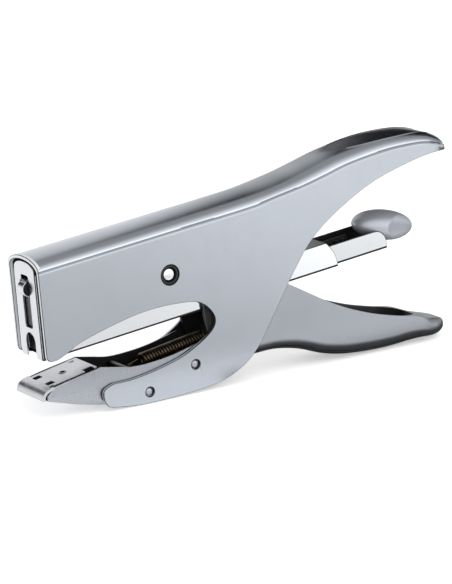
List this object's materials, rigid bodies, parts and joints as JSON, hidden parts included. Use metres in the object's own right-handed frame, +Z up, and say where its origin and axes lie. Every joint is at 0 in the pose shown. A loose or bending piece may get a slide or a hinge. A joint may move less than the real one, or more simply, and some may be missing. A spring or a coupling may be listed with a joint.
{
  "type": "plier stapler",
  "caption": "Hand-held plier stapler: pressed body shell with upper grip, pivoting lower grip, swinging magazine head, pull-out staple drawer and riveted anvil arm.",
  "frame": {"origin": "centre of the bounding box's bottom face, on the surface the stapler stands on", "axes": "+X from the stapling head to the handles, +Y towards the stapler's far side, +Z up; standing on the lower jaw and the lower grip"},
  "size_m": [0.1802, 0.022, 0.0806],
  "materials": {
    "shell_steel": "satin, finely blasted",
    "grip_steel": "satin, darker",
    "arm_steel": "satin",
    "bright_chrome": "mirror plated",
    "dark_steel": "hardened, oiled",
    "staple_steel": "galvanised wire",
    "spring_steel": "passivated spring wire",
    "black_plastic": "moulded, fine grain",
    "grey_plastic": "moulded, satin"
  },
  "bodies": {
    "frame": {"body_shell": "shell_steel", "anvil_arm": "arm_steel", "anvil_plate": "bright_chrome", "anvil_rivet": "bright_chrome", "arm_rivet_front": "bright_chrome", "arm_rivet_rear": "bright_chrome", "pivot_pin": "bright_chrome", "pivot_bush_left": "black_plastic", "pivot_bush_right": "black_plastic", "spring_anchor_pin": "dark_steel", "magazine_hanger": "dark_steel", "magazine_hinge_pin": "dark_steel", "return_spring": "spring_steel"},
    "lever": {"lower_handle": "grip_steel", "drive_arm": "dark_steel", "drive_arm_rivet": "dark_steel", "spring_hook_pin": "dark_steel", "pivot_spacer_left": "dark_steel", "pivot_spacer_right": "dark_steel"},
    "magazine": {"magazine_channel": "bright_chrome", "front_plate": "bright_chrome", "driver_guide_plate": "dark_steel", "magazine_lug": "dark_steel"},
    "driver": {"driver_blade": "dark_steel"},
    "drawer": {"staple_rail": "bright_chrome", "rail_core": "black_plastic", "guide_rod": "dark_steel", "knob": "grey_plastic", "staple_strip": "staple_steel", "catch_pin": "dark_steel", "pusher_spring": "spring_steel"},
    "catch": {"drawer_catch": "black_plastic"},
    "pusher": {"pusher": "black_plastic"}
  },
  "joints": [
    {"name": "lever_squeeze", "type": "hinge", "parent": "frame", "child": "lever", "pos_m": [-0.03518, 0, 0.04489], "axis": [0, -1, 0], "range_deg": [0, 17.5], "stiffness_Nm_per_rad": 6, "springref_deg": -11.46, "deforming": ["return_spring"]},
    {"name": "magazine_swing", "type": "hinge", "parent": "frame", "child": "magazine", "pos_m": [0.00771, 0, 0.04726], "axis": [0, -1, 0], "range_deg": [0, 5.2]},
    {"name": "driver_stroke", "type": "slide", "parent": "magazine", "child": "driver", "axis": [0.0436, 0, -0.999], "range_m": [0, 0.0076]},
    {"name": "drawer_slide", "type": "slide", "parent": "magazine", "child": "drawer", "axis": [0.9943, 0, 0.1063], "range_m": [0, 0.08]},
    {"name": "pusher_slide", "type": "slide", "parent": "drawer", "child": "pusher", "axis": [0.9943, 0, 0.1063], "range_m": [0, 0.06], "stiffness_N_per_m": 30, "springref_m": -0.03, "deforming": ["pusher_spring"]},
    {"name": "catch_press", "type": "hinge", "parent": "drawer", "child": "catch", "pos_m": [0.05544, 0, 0.03919], "axis": [0, -1, 0], "range_deg": [0, 5], "stiffness_Nm_per_rad": 0.05, "springref_deg": -11.46}
  ],
  "couplings": [
    {"joint": "magazine_swing", "follows": "lever_squeeze", "ratio": 0.29714},
    {"joint": "driver_stroke", "follows": "lever_squeeze", "m_per_rad": 0.024555}
  ]
}
